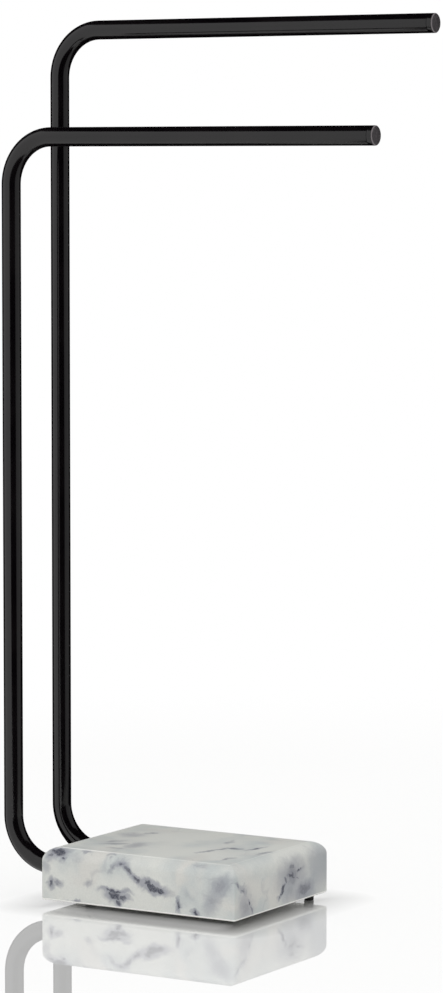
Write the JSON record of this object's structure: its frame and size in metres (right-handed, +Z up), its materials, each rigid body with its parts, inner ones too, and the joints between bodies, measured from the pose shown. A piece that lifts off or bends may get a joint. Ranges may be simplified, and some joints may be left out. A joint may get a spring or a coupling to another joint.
{
  "type": "freestanding towel stand",
  "caption": "Freestanding towel stand: a low and a high bent round rail rise from one side of a thick marble slab on rubber feet, arms open at one end.",
  "frame": {"origin": "on the floor, in the middle of the whole stand's footprint", "axes": "+X from the uprights towards the arms' free ends, +Y from the low front rail towards the high rear rail, +Z up"},
  "size_m": [0.4376, 0.18, 0.8735],
  "materials": {
    "marble": "honed white marble with blue-grey veins",
    "black_steel": "satin black powder coat on steel tube",
    "cap_metal": "satin black coat on a turned plug, worn bright at the bevel",
    "rubber_feet": "matt black rubber",
    "sleeve_plastic": "black moulded nylon",
    "fastener_steel": "zinc-plated steel"
  },
  "bodies": {
    "root": {"marble_base": "marble", "front_rail_tube": "black_steel", "rear_rail_tube": "black_steel", "front_rail_cap": "cap_metal", "rear_rail_cap": "cap_metal", "front_leg_sleeve": "sleeve_plastic", "rear_leg_sleeve": "sleeve_plastic", "front_leg_insert": "fastener_steel", "rear_leg_insert": "fastener_steel", "fixing_screws": "fastener_steel", "fixing_washers": "fastener_steel", "foot_front_left": "rubber_feet", "foot_front_right": "rubber_feet", "foot_rear_left": "rubber_feet", "foot_rear_right": "rubber_feet"}
  },
  "joints": []
}
